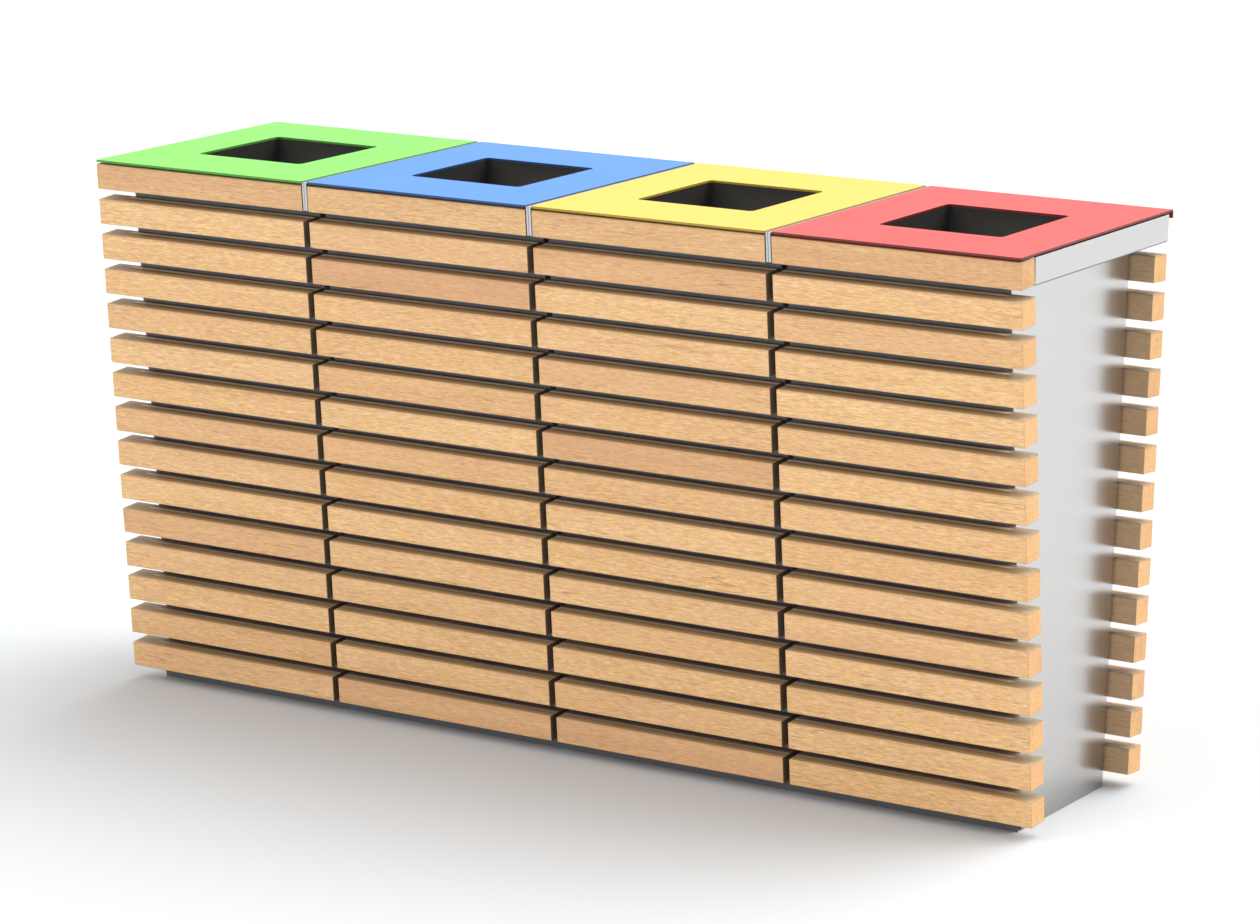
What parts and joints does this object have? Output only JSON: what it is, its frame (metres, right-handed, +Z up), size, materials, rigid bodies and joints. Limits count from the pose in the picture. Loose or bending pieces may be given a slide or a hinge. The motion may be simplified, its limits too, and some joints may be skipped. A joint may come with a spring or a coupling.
{
  "type": "litter bin",
  "caption": "Long tapered recycling station clad in horizontal timber slats, with coloured rear-hinged lids, each with a square filling hole over its own liner.",
  "frame": {"origin": "centre of the footprint, on the ground", "axes": "+X along the cabinet, +Y to the rear, +Z up; the front with the filling side faces -Y"},
  "size_m": [1.92, 0.547, 1],
  "materials": {
    "slat_wood": "oiled hardwood, satin",
    "stainless": "brushed",
    "anthracite": "fine-textured powder coat",
    "lid_green": "powder coat, satin",
    "lid_blue": "powder coat, satin",
    "lid_yellow": "powder coat, satin",
    "lid_red": "powder coat, satin",
    "liner_plastic": "moulded, matt",
    "buffer_rubber": "matt",
    "nylon": "matt",
    "hinge_steel": "satin"
  },
  "bodies": {
    "cabinet": {"base_plate": "anthracite", "divider_1": "stainless", "divider_2": "stainless", "divider_3": "stainless", "end_skirt_left": "stainless", "end_skirt_right": "stainless", "fascia_slat_1": "slat_wood", "fascia_slat_2": "slat_wood", "fascia_slat_3": "slat_wood", "fascia_slat_4": "slat_wood", "front_panel_1": "anthracite", "front_panel_2": "anthracite", "front_panel_3": "anthracite", "front_panel_4": "anthracite", "front_slats_1": "slat_wood", "front_slats_2": "slat_wood", "front_slats_3": "slat_wood", "front_slats_4": "slat_wood", "hinge_frame_leaves": "hinge_steel", "hinge_pins": "hinge_steel", "hinge_rivets": "hinge_steel", "lid_buffers": "buffer_rubber", "lid_seat_1": "anthracite", "lid_seat_2": "anthracite", "lid_seat_3": "anthracite", "lid_seat_4": "anthracite", "liner_1": "liner_plastic", "liner_2": "liner_plastic", "liner_3": "liner_plastic", "liner_4": "liner_plastic", "partition_1": "anthracite", "partition_2": "anthracite", "partition_3": "anthracite", "rear_panel_1": "anthracite", "rear_panel_2": "anthracite", "rear_panel_3": "anthracite", "rear_panel_4": "anthracite", "rear_skirt": "stainless", "rear_slats_1": "slat_wood", "rear_slats_2": "slat_wood", "rear_slats_3": "slat_wood", "rear_slats_4": "slat_wood", "side_panel_left": "stainless", "side_panel_right": "stainless", "slat_screws": "hinge_steel", "slat_spacers": "nylon"},
    "lid_green": {"lid_green": "lid_green", "throat_green": "anthracite", "hinge_lid_leaves_green": "hinge_steel"},
    "lid_blue": {"lid_blue": "lid_blue", "throat_blue": "anthracite", "hinge_lid_leaves_blue": "hinge_steel"},
    "lid_yellow": {"lid_yellow": "lid_yellow", "throat_yellow": "anthracite", "hinge_lid_leaves_yellow": "hinge_steel"},
    "lid_red": {"lid_red": "lid_red", "throat_red": "anthracite", "hinge_lid_leaves_red": "hinge_steel"}
  },
  "joints": [
    {"name": "lid_green_hinge", "type": "hinge", "parent": "cabinet", "child": "lid_green", "pos_m": [-0.7245, 0.271, 0.986], "axis": [-1, 0, 0], "range_deg": [0, 95]},
    {"name": "lid_blue_hinge", "type": "hinge", "parent": "cabinet", "child": "lid_blue", "pos_m": [-0.2415, 0.271, 0.986], "axis": [-1, 0, 0], "range_deg": [0, 95]},
    {"name": "lid_yellow_hinge", "type": "hinge", "parent": "cabinet", "child": "lid_yellow", "pos_m": [0.2415, 0.271, 0.986], "axis": [-1, 0, 0], "range_deg": [0, 95]},
    {"name": "lid_red_hinge", "type": "hinge", "parent": "cabinet", "child": "lid_red", "pos_m": [0.7245, 0.271, 0.986], "axis": [-1, 0, 0], "range_deg": [0, 95]}
  ]
}
